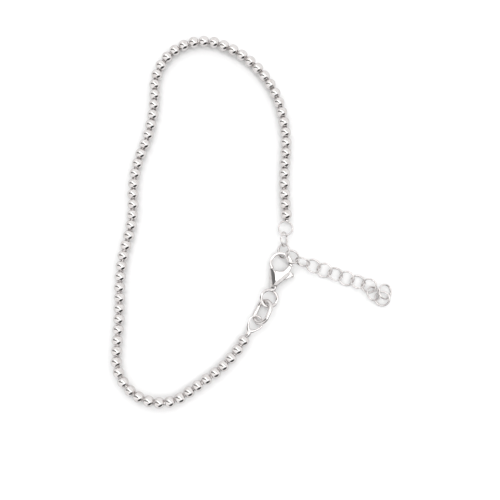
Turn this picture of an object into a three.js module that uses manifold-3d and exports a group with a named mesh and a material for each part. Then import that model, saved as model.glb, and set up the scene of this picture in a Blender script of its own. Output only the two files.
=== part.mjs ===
// Bracelet of round polished silver beads with a lobster clasp and a short extender chain.
// Millimetres. The bracelet lies on the plane z = 0, +X to the right and +Y away from the reader.
// The origin is on that plane, under the middle of the bracelet's box.

import * as THREE from 'three';
import { mergeVertices } from 'three/addons/utils/BufferGeometryUtils.js';
import Module from 'manifold-3d';

const wasm = await Module();
wasm.setup();

// Points of a mesh that lie this close together are one point.
const MERGE_DISTANCE = 1e-5;

// Bead string: its lowest point and every other height is worked out from the bead's size.
const BEAD_DIAMETER = 2.5;
const BEAD_LENGTH = 2.14;
const BEAD_PITCH = 2.3;
const BEAD_SIDES = 10;
const BEAD_BANDS = 4;
const CABLE_DIAMETER = 0.7;
const CABLE_SIDES = 5;
const STRING_HEIGHT = BEAD_DIAMETER / 2;

// The string starts at its upper end and runs round the wrist to its lower end.
const STRING_START = { x: 7.3, y: 0.9, heading: 95 };
const STRING_BENDS = [
  { beads: 5, turn: -10 },
  { beads: 5, turn: 21 },
  { beads: 4, turn: 24 },
  { beads: 5, turn: 31 },
  { beads: 7, turn: 86 },
  { beads: 2, turn: 24 },
  { beads: 6, turn: -23 },
  { beads: 5, turn: 24 },
  { beads: 4, turn: -18 },
  { beads: 5, turn: 17 },
  { beads: 4, turn: -5 },
  { beads: 2, turn: 3 },
  { beads: 7, turn: 96 },
  { beads: 2, turn: 30 },
  { beads: 3, turn: 1 },
  { beads: 4, turn: 20 },
];

// Extender chain: each ring leans out of the flat, its high side towards one compass heading.
const RING_WIRE = 0.4;
const RING_MEAN_DIAMETER = 3.08;
const RING_SIDES = 16;
const WIRE_SIDES = 6;
const END_RING = { x: 7.15, y: -2.1, z: 1.25, lean: 11, high: 203 };
const EXTENDER_RINGS = [
  { x: 6.8, y: -4.6, z: 1.6, lean: 64, high: 178 },
  { x: 6.7, y: -7.1, z: 1.3, lean: 44, high: 4 },
  { x: 8.55, y: -8.45, z: 1.95, lean: 30, high: 230 },
  { x: 10.8, y: -9.55, z: 1.6, lean: 66, high: 68 },
  { x: 13.15, y: -10.4, z: 1.2, lean: 24, high: 231 },
  { x: 15.55, y: -11.3, z: 1.0, lean: 26, high: 75 },
  { x: 17.95, y: -12.15, z: 0.9, lean: 26, high: 248 },
  { x: 20.35, y: -13.05, z: 0.85, lean: 25, high: 73 },
  { x: 22.8, y: -13.8, z: 0.85, lean: 24, high: 249 },
  { x: 25.2, y: -14.65, z: 0.85, lean: 24, high: 68 },
  { x: 26.1, y: -16.4, z: 0.95, lean: 29, high: 212 },
  { x: 28.05, y: -17.45, z: 0.8, lean: 17, high: 60 },
  { x: 28.65, y: -15.95, z: 0.95, lean: 28, high: 179 },
];

// Crimp collars at the two ends of the string.
const COLLAR_DIAMETER = 1.2;
const COLLAR_SIDES = 12;
const COLLAR_GAP = 0.12;
const UPPER_COLLAR_LENGTH = 0.5;
const LOWER_COLLAR_LENGTH = 1.1;

// Small loop ring at the lower end, drawn out to its collar, and the thick oval link to the clasp.
const LOOP_MEAN_DIAMETER = 2.9;
const LOOP_DRAWN_OUT = 0.75;
const LOOP_COLLAR_HEADING = 232;
const LOOP = { x: 0.62, y: -22.65, z: 1.35, lean: 8, high: 185 };
const OVAL_WIRE = 1.0;
const OVAL_LENGTH = 6.0;
const OVAL_WIDTH = 4.3;
const OVAL = { x: 2.12, y: -20.4, z: 1.45, lean: 36, high: -25 };
const OVAL_SIDES = 16;
const OVAL_WIRE_SIDES = 8;

// Lobster clasp. The hook is the band between two circles, and the body is two cheeks and a spine.
const CLASP_THICKNESS = 2.2;
const CLASP_MIDDLE = CLASP_THICKNESS / 2;
const CLASP_EDGE = 0.2;
const HOOK_THICKNESS = 0.9;
const HOOK_OUTER = { x: 6.15, y: -9.88, radius: 2.56 };
const HOOK_INNER = { x: 6.0, y: -9.7, radius: 1.74 };
const HOOK_TIP_Y = -10.3;
const HOOK_FOOT_Y = -10.8;
const HOOK_ARC_STEPS = 8;
const CHEEK_OUTLINE = [
  { x: 3.68, y: -10.5 },
  { x: 3.56, y: -11.4 },
  { x: 3.56, y: -14.2 },
  { x: 3.8, y: -14.7 },
  { x: 5.25, y: -14.75 },
  { x: 7.9, y: -12.6 },
  { x: 8.1, y: -12.1 },
  { x: 7.95, y: -11.6 },
  { x: 7.65, y: -11.5 },
  { x: 6.77, y: -11.93 },
  { x: 5.62, y: -12.2 },
  { x: 5.05, y: -11.85 },
  { x: 4.45, y: -11.2 },
  { x: 4.4, y: -10.6 },
];
// The slot is cut by a box that reaches well past the cheeks, to the right and upwards.
const SLOT = { width: 1.0, left: 4.45, bottom: -14.3, reach: 8.8 };
const NECK = { x: 4.5, y: -15.0, width: 1.5, length: 1.4, thickness: 1.3 };
const BASE_RING = { x: 3.55, y: -17.45, z: 1.32, lean: 17, high: 170 };
const BASE_RING_WIRE = 0.7;
const BASE_RING_MEAN_DIAMETER = 3.64;
const BASE_RING_WIRE_SIDES = 8;

// Lever on the pivot pin. At rest its tip closes the hook, and its thumb nub stands out on the right.
const PIVOT = { x: 5.25, y: -13.55 };
const PIN_DIAMETER = 0.6;
const PIN_CLEARANCE = 0.06;
const PIN_SIDES = 16;
const LEVER_THICKNESS = 0.8;
const LEVER_ARC_STEPS = 4;
const LEVER_HUB_RADIUS = 0.65;
const LEVER_HUB_FROM = 180;
const LEVER_HUB_TO = 302;
const LEVER_OUTLINE = [
  { x: 8.2, y: -12.75 },
  { x: 8.6, y: -13.1 },
  { x: 9.0, y: -12.95 },
  { x: 9.05, y: -12.4 },
  { x: 8.8, y: -12.0 },
  { x: 8.35, y: -11.95 },
  { x: 8.5, y: -11.3 },
  { x: 8.65, y: -10.42 },
  { x: 7.62, y: -10.42 },
  { x: 7.35, y: -10.85 },
  { x: 6.9, y: -11.2 },
  { x: 6.3, y: -11.4 },
  { x: 5.4, y: -11.42 },
  { x: 4.7, y: -11.3 },
];

// Silver, polished bright.
const SILVER_COLOUR = 0xe8e8ea;
const SILVER_ROUGHNESS = 0.08;

const radians = THREE.MathUtils.degToRad;

// A closed three.js geometry becomes a solid that can be joined and cut.
function solidOf(geometry, matrix = new THREE.Matrix4()) {
  const moved = geometry.clone().applyMatrix4(matrix);
  moved.deleteAttribute('normal');
  moved.deleteAttribute('uv');
  const merged = mergeVertices(moved, MERGE_DISTANCE);
  const mesh = new wasm.Mesh({
    numProp: 3,
    vertProperties: Float32Array.from(merged.attributes.position.array),
    triVerts: Uint32Array.from(merged.index.array),
  });
  return new wasm.Manifold(mesh);
}

function geometryOf(solid) {
  const mesh = solid.getMesh();
  const geometry = new THREE.BufferGeometry();
  geometry.setAttribute('position', new THREE.Float32BufferAttribute(mesh.vertProperties, 3));
  geometry.setIndex(new THREE.Uint32BufferAttribute(mesh.triVerts, 1));
  geometry.computeVertexNormals();
  return geometry;
}

// The matrix of something that leans, with its high side towards a heading.
function leaning({ x, y, z, lean, high }) {
  const turn = new THREE.Euler(0, -radians(lean), radians(high), 'ZYX');
  const matrix = new THREE.Matrix4().makeRotationFromEuler(turn);
  return matrix.setPosition(x, y, z);
}

// The matrix that stands a Y-axis shape at a point with its axis level, along a heading.
function levelAlong(x, y, z, heading) {
  const turn = new THREE.Euler(0, 0, radians(heading - 90));
  const matrix = new THREE.Matrix4().makeRotationFromEuler(turn);
  return matrix.setPosition(x, y, z);
}

// The centres of all beads, one after another along the bends.
function beadPlaces() {
  const places = [];
  let { x, y, heading } = STRING_START;
  const step = () => {
    x += BEAD_PITCH * Math.cos(radians(heading));
    y += BEAD_PITCH * Math.sin(radians(heading));
  };
  places.push({ x, y, heading });
  step();
  for (const bend of STRING_BENDS) {
    for (let bead = 0; bead < bend.beads; bead += 1) {
      const turn = bend.turn / bend.beads;
      places.push({ x, y, heading: heading + turn / 2 });
      heading += turn;
      step();
    }
  }
  places.push({ x, y, heading });
  return places;
}

// One bead: a ball with flat mouths where the cable goes in.
function beadGeometry() {
  const radius = BEAD_DIAMETER / 2;
  const reach = Math.asin(BEAD_LENGTH / BEAD_DIAMETER);
  const profile = [new THREE.Vector2(0, -BEAD_LENGTH / 2)];
  for (let band = 0; band <= BEAD_BANDS; band += 1) {
    const latitude = THREE.MathUtils.lerp(-reach, reach, band / BEAD_BANDS);
    profile.push(new THREE.Vector2(radius * Math.cos(latitude), radius * Math.sin(latitude)));
  }
  profile.push(new THREE.Vector2(0, BEAD_LENGTH / 2));
  return new THREE.LatheGeometry(profile, BEAD_SIDES);
}

// The stretch of cable from one bead's middle to the next one's.
function cableGeometry() {
  return new THREE.CylinderGeometry(CABLE_DIAMETER / 2, CABLE_DIAMETER / 2, BEAD_PITCH, CABLE_SIDES);
}

function beadStringGeometry() {
  const places = beadPlaces();
  const bead = beadGeometry();
  const cable = cableGeometry();
  let solid = solidOf(bead, levelAlong(places[0].x, places[0].y, STRING_HEIGHT, places[0].heading));
  for (let index = 1; index < places.length; index += 1) {
    const here = places[index];
    const before = places[index - 1];
    const heading = THREE.MathUtils.radToDeg(Math.atan2(here.y - before.y, here.x - before.x));
    const middle = { x: (here.x + before.x) / 2, y: (here.y + before.y) / 2 };
    solid = solid.add(solidOf(cable, levelAlong(middle.x, middle.y, STRING_HEIGHT, heading)));
    solid = solid.add(solidOf(bead, levelAlong(here.x, here.y, STRING_HEIGHT, here.heading)));
  }
  return geometryOf(solid);
}

function ringGeometry(meanDiameter, wire, sides = RING_SIDES) {
  return new THREE.TorusGeometry(meanDiameter / 2, wire / 2, WIRE_SIDES, sides);
}

function collarSolid(place, length) {
  const geometry = new THREE.CylinderGeometry(
    COLLAR_DIAMETER / 2, COLLAR_DIAMETER / 2, length, COLLAR_SIDES);
  return solidOf(geometry, levelAlong(place.x, place.y, STRING_HEIGHT, place.heading));
}

// A point on the string's line, past the flat mouth of an end bead.
function beyondBead(bead, heading, distance) {
  const reach = BEAD_LENGTH / 2 + distance;
  return {
    x: bead.x + reach * Math.cos(radians(heading)),
    y: bead.y + reach * Math.sin(radians(heading)),
    heading,
  };
}

function upperEndRingGeometry() {
  const heading = STRING_START.heading + 180;
  const place = beyondBead(beadPlaces()[0], heading, COLLAR_GAP + UPPER_COLLAR_LENGTH / 2);
  const ring = solidOf(ringGeometry(RING_MEAN_DIAMETER, RING_WIRE), leaning(END_RING));
  return geometryOf(collarSolid(place, UPPER_COLLAR_LENGTH).add(ring));
}

// A ring whose side at one heading is drawn out to a blunt point, as a teardrop.
function drawnOutRing(heading) {
  const geometry = ringGeometry(LOOP_MEAN_DIAMETER, RING_WIRE);
  const position = geometry.attributes.position;
  for (let index = 0; index < position.count; index += 1) {
    const reach = Math.max(0, position.getX(index) / (LOOP_MEAN_DIAMETER / 2));
    position.setX(index, position.getX(index) + LOOP_DRAWN_OUT * reach ** 3);
  }
  return geometry.rotateZ(radians(heading));
}

function lowerEndRingGeometry() {
  const last = beadPlaces().at(-1);
  const place = beyondBead(last, last.heading, COLLAR_GAP + LOWER_COLLAR_LENGTH / 2);
  const loop = solidOf(drawnOutRing(LOOP_COLLAR_HEADING - LOOP.high), leaning(LOOP));
  return geometryOf(collarSolid(place, LOWER_COLLAR_LENGTH).add(loop));
}

// The oval link is a ring of round wire whose two halves are drawn apart along Y.
function ovalLinkGeometry() {
  const endRadius = (OVAL_WIDTH - OVAL_WIRE) / 2;
  const stretch = (OVAL_LENGTH - OVAL_WIDTH) / 2;
  const geometry = new THREE.TorusGeometry(endRadius, OVAL_WIRE / 2, OVAL_WIRE_SIDES, OVAL_SIDES);
  geometry.rotateZ(Math.PI / OVAL_SIDES);
  const position = geometry.attributes.position;
  for (let index = 0; index < position.count; index += 1) {
    const y = position.getY(index);
    position.setY(index, y + Math.sign(y) * stretch);
  }
  geometry.applyMatrix4(leaning(OVAL));
  return geometryOf(solidOf(geometry));
}

function shapeOf(points) {
  return new THREE.Shape(points.map(({ x, y }) => new THREE.Vector2(x, y)));
}

// A flat plate with bevelled edges, centred on the clasp's middle plane.
function plateSolid(shape, thickness, bevel, curveSegments = 1) {
  const geometry = new THREE.ExtrudeGeometry(shape, {
    depth: thickness - 2 * bevel,
    bevelEnabled: bevel > 0,
    bevelThickness: bevel,
    bevelSize: bevel,
    bevelOffset: -bevel,
    bevelSegments: 1,
    curveSegments,
  });
  geometry.translate(0, 0, CLASP_MIDDLE - thickness / 2 + bevel);
  return solidOf(geometry);
}

function boxSolid(width, depth, height, x, y, z) {
  const geometry = new THREE.BoxGeometry(width, depth, height);
  return solidOf(geometry, new THREE.Matrix4().setPosition(x, y, z));
}

// A round pin that stands upright on the clasp's middle plane.
function pinSolid(diameter, length) {
  const geometry = new THREE.CylinderGeometry(diameter / 2, diameter / 2, length, PIN_SIDES);
  geometry.rotateX(Math.PI / 2);
  return solidOf(geometry, new THREE.Matrix4().setPosition(PIVOT.x, PIVOT.y, CLASP_MIDDLE));
}

// The angle at which a circle of the hook crosses a level, on its right or its left side.
function angleAt(circle, y, side) {
  const angle = Math.asin((y - circle.y) / circle.radius);
  return side === 'right' ? angle : Math.PI - angle;
}

function hookSolid() {
  const band = new THREE.Shape();
  band.absarc(HOOK_OUTER.x, HOOK_OUTER.y, HOOK_OUTER.radius,
    angleAt(HOOK_OUTER, HOOK_TIP_Y, 'right'), angleAt(HOOK_OUTER, HOOK_FOOT_Y, 'left'), false);
  band.absarc(HOOK_INNER.x, HOOK_INNER.y, HOOK_INNER.radius,
    angleAt(HOOK_INNER, HOOK_FOOT_Y, 'left'), angleAt(HOOK_INNER, HOOK_TIP_Y, 'right'), true);
  return plateSolid(band, HOOK_THICKNESS, CLASP_EDGE, HOOK_ARC_STEPS);
}

// Two cheeks that the spine joins, with the slot between them open to the hook and to the right.
function bodySolid() {
  const body = plateSolid(shapeOf(CHEEK_OUTLINE), CLASP_THICKNESS, CLASP_EDGE);
  const slot = boxSolid(SLOT.reach, SLOT.reach, SLOT.width,
    SLOT.left + SLOT.reach / 2, SLOT.bottom + SLOT.reach / 2, CLASP_MIDDLE);
  return body.subtract(slot);
}

function claspBodyGeometry() {
  const neck = boxSolid(NECK.width, NECK.length, NECK.thickness, NECK.x, NECK.y, CLASP_MIDDLE);
  const ring = new THREE.TorusGeometry(
    BASE_RING_MEAN_DIAMETER / 2, BASE_RING_WIRE / 2, BASE_RING_WIRE_SIDES, RING_SIDES);
  const pinLength = CLASP_THICKNESS - 2 * CLASP_EDGE;
  const solid = bodySolid()
    .add(hookSolid())
    .add(pinSolid(PIN_DIAMETER, pinLength))
    .add(neck)
    .add(solidOf(ring, leaning(BASE_RING)));
  return geometryOf(solid);
}

function claspLeverGeometry() {
  const outline = new THREE.Shape();
  outline.absarc(PIVOT.x, PIVOT.y, LEVER_HUB_RADIUS,
    radians(LEVER_HUB_FROM), radians(LEVER_HUB_TO), false);
  for (const { x, y } of LEVER_OUTLINE) {
    outline.lineTo(x, y);
  }
  const lever = plateSolid(outline, LEVER_THICKNESS, 0, LEVER_ARC_STEPS);
  return geometryOf(lever.subtract(pinSolid(PIN_DIAMETER + 2 * PIN_CLEARANCE, CLASP_THICKNESS)));
}

function polishedSilver() {
  return new THREE.MeshStandardMaterial({
    color: SILVER_COLOUR,
    metalness: 1,
    roughness: SILVER_ROUGHNESS,
  });
}

function part(name, geometry) {
  const mesh = new THREE.Mesh(geometry, polishedSilver());
  mesh.name = name;
  return mesh;
}

// One free ring of the extender chain, placed and leaned by its own position and rotation.
function extenderRing(row, index) {
  const number = String(index + 1).padStart(2, '0');
  const ring = part(`extender_ring_${number}`, ringGeometry(RING_MEAN_DIAMETER, RING_WIRE));
  ring.position.set(row.x, row.y, row.z);
  ring.rotation.set(0, -radians(row.lean), radians(row.high), 'ZYX');
  return ring;
}

const bracelet = new THREE.Group();
bracelet.add(part('bead_string', beadStringGeometry()));
bracelet.add(part('upper_end_ring', upperEndRingGeometry()));
bracelet.add(part('lower_end_ring', lowerEndRingGeometry()));
bracelet.add(part('oval_link', ovalLinkGeometry()));
bracelet.add(part('clasp_body', claspBodyGeometry()));
bracelet.add(part('clasp_lever', claspLeverGeometry()));

const extender = new THREE.Group();
extender.add(...EXTENDER_RINGS.map(extenderRing));
bracelet.add(extender);

export default bracelet;
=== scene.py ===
# %% [markdown]
# # A bracelet of polished silver beads
#
# The bracelet lies flat on a pale table: a string of seventy-two round beads, a short extender chain and
# a small lobster clasp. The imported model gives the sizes, the places and the moving lever. This lesson
# dresses each of its solids in a smooth piece of silver that stays where the solid is.

from math import atan2, cos, degrees, hypot, pi, radians, sin

import bmesh
import bpy
from mathutils import Matrix, Vector


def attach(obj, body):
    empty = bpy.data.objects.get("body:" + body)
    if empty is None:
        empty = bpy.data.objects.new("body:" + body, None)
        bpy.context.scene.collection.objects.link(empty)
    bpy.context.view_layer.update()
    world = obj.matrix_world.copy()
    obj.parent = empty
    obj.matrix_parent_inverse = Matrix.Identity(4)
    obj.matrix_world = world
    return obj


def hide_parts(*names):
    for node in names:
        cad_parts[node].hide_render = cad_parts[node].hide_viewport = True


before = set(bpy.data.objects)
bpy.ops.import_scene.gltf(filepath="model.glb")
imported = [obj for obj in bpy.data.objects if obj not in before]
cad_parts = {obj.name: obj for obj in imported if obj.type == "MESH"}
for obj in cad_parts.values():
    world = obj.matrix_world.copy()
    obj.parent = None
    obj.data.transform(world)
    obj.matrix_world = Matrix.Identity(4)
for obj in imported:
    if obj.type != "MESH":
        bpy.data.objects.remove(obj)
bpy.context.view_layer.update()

# %% [markdown]
# ## Millimetres, matrices and pieces
#
# Jewellery is drawn in millimetres and Blender counts in metres. Each piece here is drawn in a bmesh in
# millimetres, at its real place. One function then scales it, turns its faces outwards and hands it over
# to the body that it moves with.

# %% From a bmesh to a finished piece
MM = 0.001
SHARP_ANGLE = 40
MERGE_DISTANCE = 1e-4


def finished(bm, name, material, replaced, body="bracelet"):
    """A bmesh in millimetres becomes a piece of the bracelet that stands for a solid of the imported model."""
    bmesh.ops.remove_doubles(bm, verts=bm.verts, dist=MERGE_DISTANCE)
    bmesh.ops.recalc_face_normals(bm, faces=bm.faces)
    bmesh.ops.scale(bm, vec=(MM, MM, MM), verts=bm.verts)
    mesh = bpy.data.meshes.new(name)
    bm.to_mesh(mesh)
    bm.free()
    mesh.shade_smooth()
    mesh.set_sharp_from_angle(angle=radians(SHARP_ANGLE))
    mesh.materials.append(material)
    piece = bpy.data.objects.new(name, mesh)
    bpy.context.scene.collection.objects.link(piece)
    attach(piece, body)
    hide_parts(replaced)
    print(name, "faces", len(mesh.polygons))
    return piece


def add_copy(bm, part, matrix):
    """Adds a copy of a bmesh to another one, moved by a matrix."""
    mesh = bpy.data.meshes.new("copy")
    part.to_mesh(mesh)
    mesh.transform(matrix)
    bm.from_mesh(mesh)
    bpy.data.meshes.remove(mesh)


def corners_in(items):
    """The corners among the mixed items that a bmesh operator hands back."""
    return [item for item in items if isinstance(item, bmesh.types.BMVert)]


def edges_in(items):
    """The edges among the mixed items that a bmesh operator hands back."""
    return [item for item in items if isinstance(item, bmesh.types.BMEdge)]


def edges_joining(items, corners):
    """The edges among mixed items that have both their ends in a list of corners."""
    return [edge for edge in edges_in(items) if set(edge.verts) <= set(corners)]


def rounded(bm, geom, size, steps, affect="EDGES"):
    """Rounds edges, or corners where affect says so, with an even curve of so many steps."""
    bmesh.ops.bevel(bm, geom=geom, offset=size, segments=steps, profile=0.5, affect=affect, material=-1)


def leaning(place):
    """The matrix of something that leans, with its high side towards a compass heading."""
    turn = Matrix.Rotation(radians(place["high"]), 4, "Z") @ Matrix.Rotation(-radians(place["lean"]), 4, "Y")
    return Matrix.Translation((place["x"], place["y"], place["z"])) @ turn


def level(x, y, z, heading):
    """The matrix that points local X along a heading, level above a point of the table."""
    return Matrix.Translation((x, y, z)) @ Matrix.Rotation(radians(heading), 4, "Z")


# %% [markdown]
# ## Camera
#
# The picture looks almost straight down, seven degrees off the plumb line, through a short telephoto lens.
# The lens follows from the frame: the focal length is 954 pixels of a frame 500 pixels wide.

# %% Camera
FRAME_PIXELS = 500
FOCAL_PIXELS = 954
CAMERA_ELEVATION = 83
CAMERA_DISTANCE = 207.4
LOOK_AT = Vector((-0.6, -6.9, 1.25))
NEAREST_SEEN = 0.01

camera = bpy.data.objects.new("camera", bpy.data.cameras.new("camera"))
camera.data.lens = camera.data.sensor_width * FOCAL_PIXELS / FRAME_PIXELS
camera.data.clip_start = NEAREST_SEEN
camera.rotation_euler = (radians(90 - CAMERA_ELEVATION), 0, 0)
back = Vector((0, -cos(radians(CAMERA_ELEVATION)), sin(radians(CAMERA_ELEVATION))))
camera.location = (LOOK_AT + back * CAMERA_DISTANCE) * MM
bpy.context.scene.collection.objects.link(camera)
bpy.context.scene.camera = camera
print("lens", round(camera.data.lens, 1), "mm, camera at", [round(value, 3) for value in camera.location])

# %% [markdown]
# ## Nodes and colours
#
# Materials and the studio are node trees. One small function adds a node, sets its values and joins its
# links, so a tree reads as a list of its nodes. Colours are written as on screen and turned to linear.

# %% Nodes and colours


def linear(colour):
    """The linear colour of an sRGB hex value such as '#f0eeea'."""
    channels = [int(colour[i : i + 2], 16) / 255 for i in (1, 3, 5)]
    return tuple(c / 12.92 if c <= 0.04045 else ((c + 0.055) / 1.055) ** 2.4 for c in channels) + (1,)


def add_node(tree, kind, inputs=None, **settings):
    """A new node. inputs holds a value or another node's output for each named or numbered socket."""
    node = tree.nodes.new(kind)
    for name, value in settings.items():
        setattr(node, name, value)
    for name, value in (inputs or {}).items():
        if isinstance(value, bpy.types.NodeSocket):
            tree.links.new(value, node.inputs[name])
        else:
            node.inputs[name].default_value = value
    return node


# %% [markdown]
# ## Studio
#
# Polished silver has no look of its own, only what it mirrors. The table stands in an even pale tent. One
# long strip light hangs above it, askew, and draws the white streak across each bead. A softer card fills
# the far side. Two dark flags, one beside the strip and one low at the front, draw the dark streak and
# the dark crescent that make the metal look like metal, and the dark band along the clasp's spine. All of
# it is painted on the world by direction, so nothing stands in the way of a view from the side. The
# camera itself sees the plain tent, and only the metal and the table see the cards.
#
# Each card is a band, measured in degrees from straight up. Its middle leans towards a heading and it is
# twice half wide. Along its length it runs for reach to both sides of side, and soft blurs its edges.

# %% Tent, strip light and flags
TENT = 1.5
TABLE_WHITE = "#f6f6f6"
CARDS = [
    {"name": "strip", "heading": 51, "lean": 8, "half": 7, "side": 0, "reach": 42, "soft": 3, "light": 4.0},
    {"name": "fill", "heading": 247, "lean": 30, "half": 8, "side": -5, "reach": 30, "soft": 5, "light": 2.0},
    {"name": "flag", "heading": 247, "lean": 9, "half": 11, "side": -40, "reach": 45, "soft": 4, "light": 0.28},
    {"name": "low flag", "heading": -62, "lean": 90, "half": 42, "side": 0, "reach": 45, "soft": 4, "light": 0.05},
]

world = bpy.data.worlds.new("studio")
world.use_nodes = True
bpy.context.scene.world = world
tree = world.node_tree
tree.nodes.clear()
direction = add_node(tree, "ShaderNodeTexCoord").outputs["Generated"]


def window(value, middle, half, soft):
    """1 where an angle in radians lies within half degrees of the middle, falling off softly to 0."""
    off = add_node(tree, "ShaderNodeMath", {0: value, 1: radians(middle)}, operation="SUBTRACT")
    size = add_node(tree, "ShaderNodeMath", {0: off.outputs[0]}, operation="ABSOLUTE")
    limits = {"From Min": radians(half + soft), "From Max": radians(half - soft)}
    return add_node(
        tree, "ShaderNodeMapRange", {"Value": size.outputs[0], **limits}, interpolation_type="SMOOTHSTEP"
    ).outputs["Result"]


light = TENT
for row in CARDS:
    heading = radians(row["heading"])
    windows = []
    for axis, middle, half in (
        ((cos(heading), sin(heading), 0), row["lean"], row["half"]),
        ((-sin(heading), cos(heading), 0), row["side"], row["reach"]),
    ):
        along = add_node(tree, "ShaderNodeVectorMath", {0: direction, 1: axis}, operation="DOT_PRODUCT")
        angle = add_node(tree, "ShaderNodeMath", {0: along.outputs["Value"]}, operation="ARCSINE")
        windows.append(window(angle.outputs[0], middle, half, row["soft"]))
    mask = add_node(tree, "ShaderNodeMath", {0: windows[0], 1: windows[1]}, operation="MULTIPLY")
    mix = add_node(tree, "ShaderNodeMix", {"Factor": mask.outputs[0], "A": light, "B": row["light"]})
    light = mix.outputs["Result"]
    print(row["name"], "leans", row["lean"], "degrees towards heading", row["heading"])

seen = add_node(tree, "ShaderNodeLightPath").outputs["Is Camera Ray"]
plain = add_node(tree, "ShaderNodeMix", {"Factor": seen, "A": light, "B": TENT})
background = add_node(tree, "ShaderNodeBackground", {"Strength": plain.outputs["Result"]})
add_node(tree, "ShaderNodeOutputWorld", {"Surface": background.outputs[0]})

# %% [markdown]
# ## Table
#
# The table is a plain matt white sheet, wide enough to fill every view down to the horizon. It lies at
# height zero, where the bracelet rests.

# %% Table
TABLE_SIZE = 4.0
TABLE_ROUGHNESS = 0.7

table_bm = bmesh.new()
bmesh.ops.create_grid(table_bm, x_segments=1, y_segments=1, size=TABLE_SIZE / 2)
table_mesh = bpy.data.meshes.new("table")
table_bm.to_mesh(table_mesh)
table_bm.free()
table = bpy.data.objects.new("table", table_mesh)
bpy.context.scene.collection.objects.link(table)

matt_sheet = bpy.data.materials.new("matt_white_sheet")
matt_sheet.use_nodes = True
sheet_shader = matt_sheet.node_tree.nodes["Principled BSDF"]
sheet_shader.inputs["Base Color"].default_value = linear(TABLE_WHITE)
sheet_shader.inputs["Roughness"].default_value = TABLE_ROUGHNESS
table_mesh.materials.append(matt_sheet)
bpy.context.scene.view_settings.view_transform = "Standard"

# %% [markdown]
# ## Silver
#
# Everything is sterling silver, polished in a tumbling barrel. A mirror finish is never perfect: tumbling
# leaves hair-fine marks that show as a slightly uneven gloss, and a very low ripple that bends the edges
# of reflections. Each finish below is the same metal with its own ripple and gloss: pressed beads are
# the smoothest, drawn wire a little softer, and the cast clasp keeps the widest ripple.

# %% Polished silver
SILVER = "#d6d3d2"
SILVER_IN_RECESSES = "#cbc6c4"
RECESS_FROM = 0.3
RECESS_TO = 0.55


def polished_silver(name, gloss, mark, ripple, ripple_height):
    """Tumble-polished silver. mark and ripple are sizes in millimetres, gloss a pair of roughnesses."""
    material = bpy.data.materials.new(name)
    material.use_nodes = True
    tree = material.node_tree
    shader = tree.nodes["Principled BSDF"]
    shader.inputs["Metallic"].default_value = 1.0
    place = add_node(tree, "ShaderNodeTexCoord").outputs["Object"]
    # Hair-fine tumbling marks: some spots mirror sharply and others a little softer.
    fine = {"Vector": place, "Scale": 1 / (mark * MM), "Detail": 4.0, "Roughness": 0.6}
    marks = add_node(tree, "ShaderNodeTexNoise", fine)
    spread = {"From Min": 0.3, "From Max": 0.7, "To Min": gloss[0], "To Max": gloss[1]}
    rough = add_node(tree, "ShaderNodeMapRange", {"Value": marks.outputs["Fac"], **spread})
    # A low ripple left by polishing: it bends the edges of the reflections.
    low = {"Vector": place, "Scale": 1 / (ripple * MM), "Detail": 1.0}
    waves = add_node(tree, "ShaderNodeTexNoise", low)
    height = {"Height": waves.outputs["Fac"], "Distance": ripple_height * MM, "Strength": 1.0}
    bump = add_node(tree, "ShaderNodeBump", height)
    # The hollows of the ripple keep a faint warm haze, so the metal is not one flat grey.
    tone = add_node(tree, "ShaderNodeValToRGB", {"Fac": waves.outputs["Fac"]})
    tone.color_ramp.elements[0].position = RECESS_FROM
    tone.color_ramp.elements[0].color = linear(SILVER_IN_RECESSES)
    tone.color_ramp.elements[1].position = RECESS_TO
    tone.color_ramp.elements[1].color = linear(SILVER)
    tree.links.new(tone.outputs["Color"], shader.inputs["Base Color"])
    tree.links.new(rough.outputs["Result"], shader.inputs["Roughness"])
    tree.links.new(bump.outputs["Normal"], shader.inputs["Normal"])
    return material


# The clearest mirror: narrow, crisp streaks on every bead.
pressed_silver = polished_silver(
    "pressed_silver_tumbled", gloss=(0.03, 0.08), mark=0.15, ripple=0.9, ripple_height=0.004
)
# Drawn wire: softer highlights that run along the rings and do not sparkle.
wire_silver = polished_silver(
    "drawn_silver_wire_tumbled", gloss=(0.06, 0.14), mark=0.1, ripple=0.5, ripple_height=0.006
)
# Cast metal: broad faces whose reflections waver a little at their edges.
cast_silver = polished_silver(
    "cast_silver_polished", gloss=(0.05, 0.12), mark=0.12, ripple=0.8, ripple_height=0.01
)

# %% [markdown]
# ## The line of the string
#
# The beads follow the wrist-shaped loop in which the bracelet was laid down. The string starts at its
# upper end and is a walk: so many beads, bent by so many degrees in all, bend after bend.

# %% Bead places
BEAD_DIAMETER = 2.5
BEAD_LENGTH = 2.14
BEAD_PITCH = 2.3
STRING_HEIGHT = BEAD_DIAMETER / 2
STRING_START = {"x": 7.3, "y": 0.9, "heading": 95}
STRING_BENDS = [
    {"beads": 5, "turn": -10},
    {"beads": 5, "turn": 21},
    {"beads": 4, "turn": 24},
    {"beads": 5, "turn": 31},
    {"beads": 7, "turn": 86},
    {"beads": 2, "turn": 24},
    {"beads": 6, "turn": -23},
    {"beads": 5, "turn": 24},
    {"beads": 4, "turn": -18},
    {"beads": 5, "turn": 17},
    {"beads": 4, "turn": -5},
    {"beads": 2, "turn": 3},
    {"beads": 7, "turn": 96},
    {"beads": 2, "turn": 30},
    {"beads": 3, "turn": 1},
    {"beads": 4, "turn": 20},
]


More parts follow.
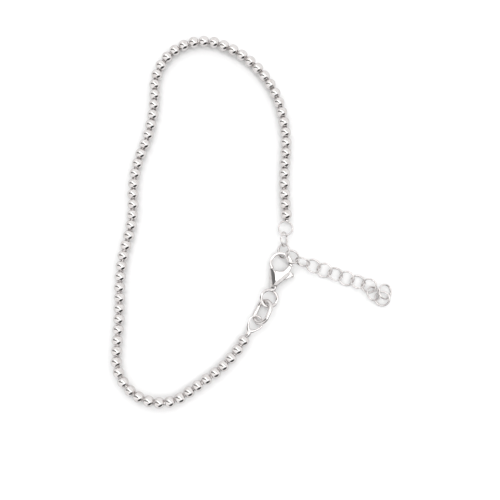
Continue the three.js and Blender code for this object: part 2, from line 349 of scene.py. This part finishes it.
def bead_places():
    """The middle and heading of each bead, from the upper end of the string to the lower one."""
    x, y, heading = STRING_START["x"], STRING_START["y"], STRING_START["heading"]
    places = [{"x": x, "y": y, "heading": heading}]
    for bend in STRING_BENDS:
        turn = bend["turn"] / bend["beads"]
        for _ in range(bend["beads"]):
            x += BEAD_PITCH * cos(radians(heading))
            y += BEAD_PITCH * sin(radians(heading))
            places.append({"x": x, "y": y, "heading": heading + turn / 2})
            heading += turn
    x += BEAD_PITCH * cos(radians(heading))
    y += BEAD_PITCH * sin(radians(heading))
    places.append({"x": x, "y": y, "heading": heading})
    return places


BEADS = bead_places()
print("beads", len(BEADS), "string", round(BEAD_PITCH * len(BEADS)), "mm")

# %% [markdown]
# ## Beads
#
# A silver bead is pressed as a hollow ball and drilled, which leaves a flat rim round each hole. A ball
# with two caps sliced off gives the flat mouths. Their edges are pulled inwards for the rims, and one
# bridge between the rims is the wall of the hole. The edge of each mouth is rounded, as tumbling does.

# %% Beads
BEAD_SIDES = 32
BEAD_BANDS = 20
HOLE_DIAMETER = 0.9
MOUTH_ROUNDING = 0.07
MOUTH_STEPS = 2

bead = bmesh.new()
bmesh.ops.create_uvsphere(bead, u_segments=BEAD_SIDES, v_segments=BEAD_BANDS, radius=BEAD_DIAMETER / 2)
mouth_radius = (STRING_HEIGHT**2 - (BEAD_LENGTH / 2) ** 2) ** 0.5
rims = []
for side in (-1, 1):
    mouth = Vector((0, 0, side * BEAD_LENGTH / 2))
    whole = bead.verts[:] + bead.edges[:] + bead.faces[:]
    cut = bmesh.ops.bisect_plane(bead, geom=whole, plane_co=mouth, plane_no=(0, 0, side), clear_outer=True)
    made = bmesh.ops.extrude_edge_only(bead, edges=edges_in(cut["geom_cut"]))["geom"]
    corners = corners_in(made)
    narrowing = HOLE_DIAMETER / 2 / mouth_radius
    bmesh.ops.scale(bead, vec=(narrowing, narrowing, 1), verts=corners)
    rims += [edge for edge in bead.edges if edge.is_boundary and edge.verts[0] in corners]
bmesh.ops.bridge_loops(bead, edges=rims)


def on_mouth(corner):
    """Whether a corner of the bead lies on the outer edge of one of its mouths."""
    outwards = hypot(corner.co.x, corner.co.y) - mouth_radius
    along = abs(corner.co.z) - BEAD_LENGTH / 2
    return max(abs(outwards), abs(along)) < MERGE_DISTANCE


mouths = [
    edge for edge in bead.edges
    if all(on_mouth(corner) for corner in edge.verts) and edge.verts[0].co.z * edge.verts[1].co.z > 0
]
rounded(bead, mouths, MOUTH_ROUNDING, MOUTH_STEPS)
bmesh.ops.rotate(bead, cent=(0, 0, 0), matrix=Matrix.Rotation(pi / 2, 3, "Y"), verts=bead.verts)
print("one bead", len(bead.faces), "faces, mouth", round(2 * mouth_radius, 2), "mm")

beads = bmesh.new()
for place in BEADS:
    add_copy(beads, bead, level(place["x"], place["y"], STRING_HEIGHT, place["heading"]))
bead.free()
finished(beads, "silver_beads", pressed_silver, "bead_string")

# %% [markdown]
# ## Cable
#
# Behind the beads runs a fine twisted cable. It only shows as dark glints in the gaps. A round loop whose
# every third corner is pushed in reads as six strands. It is pulled along the string and turned a little
# at each step, which twists the strands.

# %% Pull a loop of edges from place to place


def sweep(bm, verts, edges, matrices):
    """Extrudes a closed loop through the places given by matrices, and closes both ends."""
    bmesh.ops.transform(bm, matrix=matrices[0], verts=verts)
    ends = [edges]
    for before, here in zip(matrices, matrices[1:]):
        made = bmesh.ops.extrude_edge_only(bm, edges=edges)["geom"]
        verts = corners_in(made)
        edges = edges_joining(made, verts)
        bmesh.ops.transform(bm, matrix=here @ before.inverted(), verts=verts)
    ends.append(edges)
    for loop in ends:
        bmesh.ops.edgeloop_fill(bm, edges=loop)


def round_loop(bm, sides, radius):
    """A circle round local X, as its corners and edges."""
    turn = Matrix.Rotation(pi / 2, 4, "Y")
    verts = bmesh.ops.create_circle(bm, segments=sides, radius=radius, matrix=turn)["verts"]
    edges = bm.edges[:]
    return verts, edges


# %% Cable
CABLE_DIAMETER = 0.7
CABLE_CORNERS = 18
CABLE_STRANDS = 6
STRAND_HOLLOW = 0.78
CABLE_STEPS = 6
CABLE_TWIST = 75

cable = bmesh.new()
cable_verts, cable_edges = round_loop(cable, CABLE_CORNERS, CABLE_DIAMETER / 2)
every = CABLE_CORNERS // CABLE_STRANDS
for vert in cable_verts[::every]:
    vert.co *= STRAND_HOLLOW
cable_line = []
for index, (here, beyond) in enumerate(zip(BEADS, BEADS[1:])):
    heading = degrees(atan2(beyond["y"] - here["y"], beyond["x"] - here["x"]))
    for step in range(CABLE_STEPS):
        share = step / CABLE_STEPS
        x = here["x"] + share * (beyond["x"] - here["x"])
        y = here["y"] + share * (beyond["y"] - here["y"])
        twist = Matrix.Rotation(radians(CABLE_TWIST * (index + share)), 4, "X")
        cable_line.append(level(x, y, STRING_HEIGHT, heading) @ twist)
sweep(cable, cable_verts, cable_edges, cable_line)
finished(cable, "stringing_cable", wire_silver, "bead_string")

# %% [markdown]
# ## Rings of the extender chain
#
# Chain rings are drawn wire wound round a rod, sawn off turn by turn and soldered shut. Each is a circle
# spun once round a centre. They hang through one another, so each leans out of the flat its own way.

# %% Rings
RING_WIRE = 0.4
RING_MEAN_DIAMETER = 3.08
RING_STEPS = 64
WIRE_SIDES = 16
EXTENDER_RINGS = [
    {"x": 6.8, "y": -4.6, "z": 1.6, "lean": 64, "high": 178},
    {"x": 6.7, "y": -7.1, "z": 1.3, "lean": 44, "high": 4},
    {"x": 8.55, "y": -8.45, "z": 1.95, "lean": 30, "high": 230},
    {"x": 10.8, "y": -9.55, "z": 1.6, "lean": 66, "high": 68},
    {"x": 13.15, "y": -10.4, "z": 1.2, "lean": 24, "high": 231},
    {"x": 15.55, "y": -11.3, "z": 1.0, "lean": 26, "high": 75},
    {"x": 17.95, "y": -12.15, "z": 0.9, "lean": 26, "high": 248},
    {"x": 20.35, "y": -13.05, "z": 0.85, "lean": 25, "high": 73},
    {"x": 22.8, "y": -13.8, "z": 0.85, "lean": 24, "high": 249},
    {"x": 25.2, "y": -14.65, "z": 0.85, "lean": 24, "high": 68},
    {"x": 26.1, "y": -16.4, "z": 0.95, "lean": 29, "high": 212},
    {"x": 28.05, "y": -17.45, "z": 0.8, "lean": 17, "high": 60},
    {"x": 28.65, "y": -15.95, "z": 0.95, "lean": 28, "high": 179},
]


def ring(mean_diameter, wire, steps=RING_STEPS, sides=WIRE_SIDES):
    """A ring of round wire in its own flat, as a bmesh in millimetres."""
    bm = bmesh.new()
    across = Matrix.Translation((mean_diameter / 2, 0, 0)) @ Matrix.Rotation(pi / 2, 4, "X")
    verts = bmesh.ops.create_circle(bm, segments=sides, radius=wire / 2, matrix=across)["verts"]
    edges = bm.edges[:]
    bmesh.ops.spin(
        bm, geom=verts + edges, cent=(0, 0, 0), axis=(0, 0, 1), angle=2 * pi, steps=steps, use_merge=True
    )
    return bm


for number, place in enumerate(EXTENDER_RINGS, 1):
    link = ring(RING_MEAN_DIAMETER, RING_WIRE)
    bmesh.ops.transform(link, matrix=leaning(place), verts=link.verts)
    node = f"extender_ring_{number:02d}"
    finished(link, f"silver_{node}", wire_silver, node)

# %% [markdown]
# ## End rings and crimp collars
#
# At each end of the string a short tube is crimped over the cable, and a ring is soldered to it. The ring
# at the lower end has been pulled out to a drop shape, so its collar side is drawn to a blunt point.

# %% End rings
END_RING = {"x": 7.15, "y": -2.1, "z": 1.25, "lean": 11, "high": 203}
LOOP = {"x": 0.62, "y": -22.65, "z": 1.35, "lean": 8, "high": 185}
LOOP_MEAN_DIAMETER = 2.9
LOOP_DRAWN_OUT = 0.75
LOOP_COLLAR_HEADING = 232
COLLAR_DIAMETER = 1.2
COLLAR_SIDES = 32
COLLAR_GAP = 0.12
COLLAR_ROUNDING = 0.12
COLLAR_STEPS = 4
UPPER_COLLAR_LENGTH = 0.5
LOWER_COLLAR_LENGTH = 1.1


def add_collar(bm, bead_place, heading, length):
    """A rounded tube past the flat mouth of an end bead."""
    collar = bmesh.new()
    size = COLLAR_DIAMETER / 2
    bmesh.ops.create_cone(
        collar, cap_ends=True, segments=COLLAR_SIDES, radius1=size, radius2=size, depth=length,
        matrix=Matrix.Rotation(pi / 2, 4, "Y"),
    )
    rims = [edge for edge in collar.edges if abs(edge.verts[0].co.x - edge.verts[1].co.x) < MERGE_DISTANCE]
    rounded(collar, rims, COLLAR_ROUNDING, COLLAR_STEPS)
    reach = BEAD_LENGTH / 2 + COLLAR_GAP + length / 2
    x = bead_place["x"] + reach * cos(radians(heading))
    y = bead_place["y"] + reach * sin(radians(heading))
    add_copy(bm, collar, level(x, y, STRING_HEIGHT, heading))
    collar.free()


upper_ring = ring(RING_MEAN_DIAMETER, RING_WIRE)
bmesh.ops.transform(upper_ring, matrix=leaning(END_RING), verts=upper_ring.verts)
add_collar(upper_ring, BEADS[0], STRING_START["heading"] + 180, UPPER_COLLAR_LENGTH)
finished(upper_ring, "silver_upper_end_ring", wire_silver, "upper_end_ring")

lower_ring = ring(LOOP_MEAN_DIAMETER, RING_WIRE)
for vert in lower_ring.verts:
    reach = max(0, vert.co.x / (LOOP_MEAN_DIAMETER / 2))
    vert.co.x += LOOP_DRAWN_OUT * reach**3
drop_turn = Matrix.Rotation(radians(LOOP_COLLAR_HEADING - LOOP["high"]), 4, "Z")
bmesh.ops.transform(lower_ring, matrix=leaning(LOOP) @ drop_turn, verts=lower_ring.verts)
add_collar(lower_ring, BEADS[-1], BEADS[-1]["heading"], LOWER_COLLAR_LENGTH)
finished(lower_ring, "silver_lower_end_ring", wire_silver, "lower_end_ring")

# %% [markdown]
# ## Oval link
#
# The thick oval link between the loop and the clasp is bent from heavy round wire. Its halves are two
# half turns, drawn apart by a short straight run on each side.

# %% Oval link
OVAL = {"x": 2.12, "y": -20.4, "z": 1.45, "lean": 36, "high": -25}
OVAL_WIRE = 1.0
OVAL_LENGTH = 6.0
OVAL_WIDTH = 4.3
OVAL_STEPS = 28
OVAL_WIRE_SIDES = 24

oval = bmesh.new()
end_radius = (OVAL_WIDTH - OVAL_WIRE) / 2
stretch = (OVAL_LENGTH - OVAL_WIDTH) / 2
across = Matrix.Translation((end_radius, stretch, 0)) @ Matrix.Rotation(pi / 2, 4, "X")
oval_verts = bmesh.ops.create_circle(
    oval, segments=OVAL_WIRE_SIDES, radius=OVAL_WIRE / 2, matrix=across
)["verts"]
oval_edges = oval.edges[:]
for side in (1, -1):
    middle = (0, side * stretch, 0)
    half = bmesh.ops.spin(
        oval, geom=oval_verts + oval_edges, cent=middle, axis=(0, 0, 1), angle=pi, steps=OVAL_STEPS
    )["geom_last"]
    straight = bmesh.ops.extrude_edge_only(oval, edges=edges_in(half))["geom"]
    oval_verts = corners_in(straight)
    bmesh.ops.translate(oval, vec=(0, -side * 2 * stretch, 0), verts=oval_verts)
    oval_edges = edges_joining(straight, oval_verts)
bmesh.ops.transform(oval, matrix=leaning(OVAL), verts=oval.verts)
finished(oval, "silver_oval_link", wire_silver, "oval_link")

# %% [markdown]
# ## Clasp body
#
# A lobster clasp is cast in one piece: a hook that swells at its foot, two cheeks with a slot between
# them, a neck and a ring. The hook is a rounded bar pulled round a curve. The cheeks start as one plate
# with a chamfer towards the thumb. A block with a bullnose rounds the spine on the left, and the slot
# for the lever is sawn out. A fine remesh then melts the parts together, with the pivot pin in the slot,
# and a little smoothing rounds every edge, as casting and tumbling do.

# %% Plates, bars and modifiers
CLASP_MIDDLE = 1.1
CORNER_STEPS = 4
RIM_STEPS = 4


def modified(bm, kind, other=None, **settings):
    """The bmesh after one of Blender's modifiers. other is the second shape of a boolean."""
    objects = []
    for part in filter(None, (bm, other)):
        bmesh.ops.remove_doubles(part, verts=part.verts, dist=MERGE_DISTANCE)
        bmesh.ops.recalc_face_normals(part, faces=part.faces)
        mesh = bpy.data.meshes.new("blank")
        part.to_mesh(mesh)
        part.free()
        objects.append(bpy.data.objects.new("blank", mesh))
        bpy.context.scene.collection.objects.link(objects[-1])
    modifier = objects[0].modifiers.new("step", kind)
    for name, value in settings.items():
        setattr(modifier, name, value)
    if other:
        modifier.object = objects[1]
    made = bmesh.new()
    made.from_object(objects[0], bpy.context.evaluated_depsgraph_get())
    for item in objects:
        mesh = item.data
        bpy.data.objects.remove(item)
        bpy.data.meshes.remove(mesh)
    return made


def rounded_plate(outline, thickness, rim):
    """A plate round the clasp's middle plane, with rounded corners and a rounded rim."""
    bm = bmesh.new()
    corners = [bm.verts.new((row["x"], row["y"], CLASP_MIDDLE - thickness / 2)) for row in outline]
    bm.faces.new(corners)
    for corner, row in zip(corners, outline):
        rounded(bm, [corner], row["round"], CORNER_STEPS, affect="VERTICES")
    made = bmesh.ops.extrude_face_region(bm, geom=bm.faces[:])["geom"]
    bmesh.ops.translate(bm, vec=(0, 0, thickness), verts=corners_in(made))
    bmesh.ops.recalc_face_normals(bm, faces=bm.faces)
    rims = [edge for edge in bm.edges if abs(edge.verts[0].co.z - edge.verts[1].co.z) < MERGE_DISTANCE]
    rounded(bm, rims, rim, RIM_STEPS)
    return bm


def rounded_bar(stations, rounding=0.3):
    """A bar with a rounded square section, pulled through the stations of a table."""
    bm = bmesh.new()
    upright = Matrix.Rotation(pi / 2, 4, "Y") @ Matrix.Rotation(pi / 4, 4, "Z")
    square = bmesh.ops.create_circle(bm, cap_ends=True, segments=4, radius=0.5**0.5, matrix=upright)["verts"]
    rounded(bm, square, rounding, CORNER_STEPS, affect="VERTICES")
    bmesh.ops.delete(bm, geom=bm.faces[:], context="FACES_ONLY")
    places = []
    for row in stations:
        size = Matrix.Diagonal((1, row["width"], row["thick"], 1))
        places.append(level(row["x"], row["y"], CLASP_MIDDLE, row["heading"]) @ size)
    sweep(bm, bm.verts[:], bm.edges[:], places)
    return bm


# %% Hook and spine
HOOK_OUTER = {"x": 6.15, "y": -9.88, "radius": 2.56}
HOOK_INNER = {"x": 6.0, "y": -9.7, "radius": 1.74}
HOOK_STEPS = 32
HOOK_FROM = 212
HOOK_TO = -17
HOOK_THICKNESS = 0.9
FOOT_THICKNESS = 1.6
FLARE = 60
HOOK_ROOT = [
    {"x": 4.2, "y": -12.4, "heading": 95, "width": 0.7, "thick": 1.3},
    {"x": 4.08, "y": -11.7, "heading": 92, "width": 0.85, "thick": 1.5},
    {"x": 4.05, "y": -11.2, "heading": 93, "width": 0.9, "thick": 1.6},
]


def hook_station(angle):
    """The middle and width of the hook's band on a ray from the middle of its opening."""
    ray = Vector((cos(radians(angle)), sin(radians(angle))))
    inner = Vector((HOOK_INNER["x"], HOOK_INNER["y"]))
    offset = Vector((HOOK_OUTER["x"], HOOK_OUTER["y"])) - inner
    along = offset.dot(ray)
    reach = along + (along**2 - offset.length_squared + HOOK_OUTER["radius"] ** 2) ** 0.5
    middle = inner + ray * (reach + HOOK_INNER["radius"]) / 2
    flare = max(0, 1 - (HOOK_FROM - angle) / FLARE)
    flare = flare * flare * (3 - 2 * flare)
    return {
        "x": middle.x,
        "y": middle.y,
        "heading": angle - 90,
        "width": reach - HOOK_INNER["radius"],
        "thick": HOOK_THICKNESS + (FOOT_THICKNESS - HOOK_THICKNESS) * flare,
    }


hook_angles = [HOOK_FROM + (HOOK_TO - HOOK_FROM) * step / HOOK_STEPS for step in range(HOOK_STEPS + 1)]
hook = rounded_bar(HOOK_ROOT + [hook_station(angle) for angle in hook_angles])
print("hook", len(hook.faces), "faces")

# %% Cheeks
CHEEK_OUTLINE = [
    {"x": 3.66, "y": -10.9, "round": 0.2},
    {"x": 3.56, "y": -11.8, "round": 0.3},
    {"x": 3.56, "y": -14.1, "round": 0.5},
    {"x": 3.95, "y": -14.75, "round": 0.3},
    {"x": 5.25, "y": -14.75, "round": 0.35},
    {"x": 7.95, "y": -12.55, "round": 0.3},
    {"x": 8.1, "y": -11.95, "round": 0.25},
    {"x": 7.7, "y": -11.55, "round": 0.25},
    {"x": 6.77, "y": -12.0, "round": 0.3},
    {"x": 5.62, "y": -12.2, "round": 0.3},
    {"x": 4.95, "y": -11.85, "round": 0.3},
    {"x": 4.4, "y": -11.0, "round": 0.2},
]
CHEEK_THICKNESS = 2.2
CHEEK_RIM = 0.15
THUMB_CHAMFER = {"x": 6.6, "y": -13.65, "heading": -51, "inside": 0.85, "slope": 24}

cheeks = rounded_plate(CHEEK_OUTLINE, CHEEK_THICKNESS, CHEEK_RIM)
heading, slope = radians(THUMB_CHAMFER["heading"]), radians(THUMB_CHAMFER["slope"])
for side in (1, -1):
    whole = cheeks.verts[:] + cheeks.edges[:] + cheeks.faces[:]
    x = THUMB_CHAMFER["x"] - THUMB_CHAMFER["inside"] * cos(heading)
    y = THUMB_CHAMFER["y"] - THUMB_CHAMFER["inside"] * sin(heading)
    normal = (cos(heading) * sin(slope), sin(heading) * sin(slope), side * cos(slope))
    face = (x, y, CLASP_MIDDLE + side * CHEEK_THICKNESS / 2)
    cut = bmesh.ops.bisect_plane(cheeks, geom=whole, plane_co=face, plane_no=normal, clear_outer=True)
    bmesh.ops.edgeloop_fill(cheeks, edges=edges_in(cut["geom_cut"]))
print("chamfered plate", len(cheeks.faces), "faces")

# %% Spine and slot
SPINE = {"x": 3.54, "y": -12.6, "heading": 5}
SPINE_ROUNDING = 1.0
SPINE_WIDENING = 1.5
SPINE_STEPS = 24
SLOT = {"width": 1.0, "left": 4.45, "bottom": -14.3, "reach": 8.0}
# A little more than the cheeks, so that no two faces of the boolean lie in one plane.
BLANK_THICKNESS = 2.22


def spine_blank():
    """A tall block with a bullnose along its left side, a little turned like the spine."""
    blank = bmesh.new()
    bmesh.ops.create_cube(blank, size=BLANK_THICKNESS)
    left = [
        edge for edge in blank.edges
        if all(vert.co.x < 0 for vert in edge.verts) and edge.verts[0].co.y != edge.verts[1].co.y
    ]
    rounded(blank, left, SPINE_ROUNDING, SPINE_STEPS)
    bmesh.ops.translate(blank, vec=(BLANK_THICKNESS / 2, 0, 0), verts=blank.verts)
    bmesh.ops.scale(blank, vec=(SPINE_WIDENING, SLOT["reach"], 1), verts=blank.verts)
    far = [vert for vert in blank.verts if vert.co.x > BLANK_THICKNESS * SPINE_WIDENING - MERGE_DISTANCE]
    bmesh.ops.translate(blank, vec=(SLOT["reach"], 0, 0), verts=far)
    place = level(SPINE["x"], SPINE["y"], CLASP_MIDDLE, SPINE["heading"])
    bmesh.ops.transform(blank, matrix=place, verts=blank.verts)
    return blank


cheeks = modified(cheeks, "BOOLEAN", spine_blank(), operation="INTERSECT", solver="MANIFOLD")
hook = modified(hook, "BOOLEAN", spine_blank(), operation="INTERSECT", solver="MANIFOLD")
saw = bmesh.new()
saw_middle = (SLOT["left"] + SLOT["reach"] / 2, SLOT["bottom"] + SLOT["reach"] / 2, CLASP_MIDDLE)
saw_size = Matrix.Diagonal((SLOT["reach"], SLOT["reach"], SLOT["width"], 1))
bmesh.ops.create_cube(saw, size=1, matrix=Matrix.Translation(saw_middle) @ saw_size)
cheeks = modified(cheeks, "BOOLEAN", saw, operation="DIFFERENCE", solver="MANIFOLD")
print("cheeks", len(cheeks.faces), "faces")

# %% Neck and ring, and the casting as a whole
NECK = [
    {"x": 4.62, "y": -14.4, "heading": -100, "width": 1.9, "thick": 1.5},
    {"x": 4.52, "y": -14.9, "heading": -100, "width": 1.5, "thick": 1.35},
    {"x": 4.4, "y": -15.4, "heading": -102, "width": 1.35, "thick": 1.2},
    {"x": 4.25, "y": -15.75, "heading": -104, "width": 1.3, "thick": 1.0},
]
BASE_RING = {"x": 3.55, "y": -17.45, "z": 1.32, "lean": 17, "high": 170}
BASE_RING_WIRE = 0.7
BASE_RING_MEAN_DIAMETER = 3.64
BASE_RING_SIDES = 24
PIVOT = {"x": 5.25, "y": -13.55}
PIN_DIAMETER = 0.6
PIN_LENGTH = 1.6
PIN_SIDES = 32
PIN_CLEARANCE = 0.08
VOXEL = 0.05
BODY_SMOOTHING = 6


def cast(parts, smoothing):
    """Melts overlapping parts into one solid, and rounds its edges a little with each smoothing pass."""
    bm = bmesh.new()
    for part in parts:
        add_copy(bm, part, Matrix())
        part.free()
    bmesh.ops.recalc_face_normals(bm, faces=bm.faces)
    bm = modified(bm, "REMESH", mode="VOXEL", voxel_size=VOXEL)
    for _ in range(smoothing):
        bmesh.ops.smooth_vert(
            bm, verts=bm.verts, factor=0.5, use_axis_x=True, use_axis_y=True, use_axis_z=True
        )
    return bm


def pin(diameter, length):
    """An upright round pin at the lever's pivot."""
    bm = bmesh.new()
    place = Matrix.Translation((PIVOT["x"], PIVOT["y"], CLASP_MIDDLE))
    size = diameter / 2
    bmesh.ops.create_cone(
        bm, cap_ends=True, segments=PIN_SIDES, radius1=size, radius2=size, depth=length, matrix=place
    )
    return bm


base_ring = ring(BASE_RING_MEAN_DIAMETER, BASE_RING_WIRE, sides=BASE_RING_SIDES)
bmesh.ops.transform(base_ring, matrix=leaning(BASE_RING), verts=base_ring.verts)
body_parts = [hook, cheeks, pin(PIN_DIAMETER, PIN_LENGTH), rounded_bar(NECK), base_ring]
casting = cast(body_parts, smoothing=BODY_SMOOTHING)
print("casting", len(casting.faces), "faces")

finished(casting, "silver_clasp_body", cast_silver, "clasp_body")

# %% [markdown]
# ## Lever
#
# The lever turns on the pin between the cheeks. Its gate is a rounded bar that carries on the ring of the
# hook, and a small nub stands out at the side for the thumb nail. Plate, gate and nub are melted together
# the way the body is, and the hole for the pin is a little wider than the pin.

# %% Lever
LEVER_THICKNESS = 0.8
LEVER_RIM = 0.12
GATE_FROM = -21
GATE_TO = -122
GATE_STEPS = 16
GATE_ROUNDING = 0.45
LEVER_SMOOTHING = 4
NUB = {"x": 8.55, "y": -12.5, "length": 0.5, "width": 0.42, "height": 0.45, "heading": 65}
NUB_SIDES = 32
NUB_BANDS = 16
LEVER_OUTLINE = [
    {"x": 4.62, "y": -13.7, "round": 0.3},
    {"x": 5.0, "y": -14.2, "round": 0.3},
    {"x": 5.65, "y": -14.1, "round": 0.3},
    {"x": 8.3, "y": -12.85, "round": 0.15},
    {"x": 8.6, "y": -12.3, "round": 0.15},
    {"x": 8.2, "y": -11.6, "round": 0.3},
    {"x": 7.3, "y": -11.6, "round": 0.3},
    {"x": 4.8, "y": -11.8, "round": 0.2},
]

lever_plate = rounded_plate(LEVER_OUTLINE, LEVER_THICKNESS, LEVER_RIM)
gate_angles = [GATE_FROM + (GATE_TO - GATE_FROM) * step / GATE_STEPS for step in range(GATE_STEPS + 1)]
gate_stations = [hook_station(angle) | {"thick": LEVER_THICKNESS} for angle in gate_angles]
gate = rounded_bar(gate_stations, rounding=GATE_ROUNDING)
nub = bmesh.new()
nub_size = Matrix.Diagonal((NUB["length"], NUB["width"], NUB["height"], 1))
nub_place = level(NUB["x"], NUB["y"], CLASP_MIDDLE, NUB["heading"])
bmesh.ops.create_uvsphere(
    nub, u_segments=NUB_SIDES, v_segments=NUB_BANDS, radius=1, matrix=nub_place @ nub_size
)
drill = pin(PIN_DIAMETER + 2 * PIN_CLEARANCE, CHEEK_THICKNESS)
lever_plate = modified(lever_plate, "BOOLEAN", drill, operation="DIFFERENCE", solver="MANIFOLD")
lever = cast([lever_plate, gate, nub], smoothing=LEVER_SMOOTHING)
finished(lever, "silver_clasp_lever", cast_silver, "clasp_lever", body="lever")

# %% [markdown]
#
# The dressed bracelet keeps the size of the imported model.

# %% Update the scene
bpy.context.view_layer.update()
